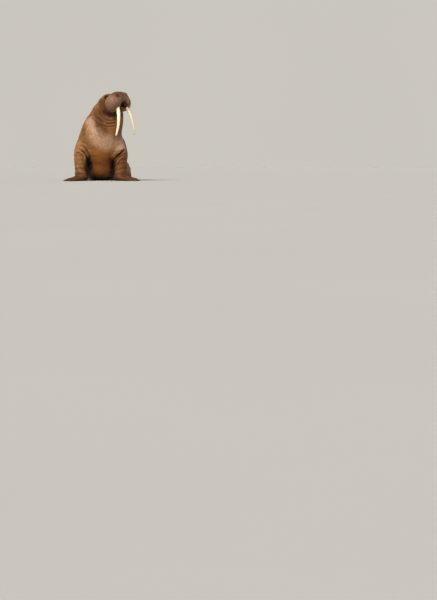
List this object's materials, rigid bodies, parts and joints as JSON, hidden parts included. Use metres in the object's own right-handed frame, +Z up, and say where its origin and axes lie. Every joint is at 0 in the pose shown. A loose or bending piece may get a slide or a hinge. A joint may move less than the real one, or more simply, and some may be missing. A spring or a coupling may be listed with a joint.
{
  "type": "walrus figure",
  "caption": "Life-size still model of a walrus sitting up on its foreflippers, head raised and turned, with long tusks, whiskered muzzle pads and folded hide.",
  "frame": {"origin": "on the floor, under the middle of the model's bounding box", "axes": "+Z up, -Y the way the chest faces, +X the animal's own left; the body runs back along +Y"},
  "size_m": [1.1942, 2.2266, 1.3599],
  "materials": {
    "hide": "short-furred brown hide with a soft sheen",
    "pad_skin": "bristled greyish brown skin",
    "ivory": "smooth creamy ivory",
    "eye": "wet dark gloss"
  },
  "bodies": {
    "root": {"head": "hide", "muzzle": "pad_skin", "lower_jaw": "pad_skin", "neck": "hide", "torso": "hide", "hips": "hide", "tail": "hide", "foreflipper_left": "hide", "foreflipper_right": "hide", "hind_flipper_left": "hide", "hind_flipper_right": "hide", "eye_left": "eye", "eye_right": "eye", "tusk_left": "ivory", "tusk_right": "ivory"}
  },
  "joints": []
}
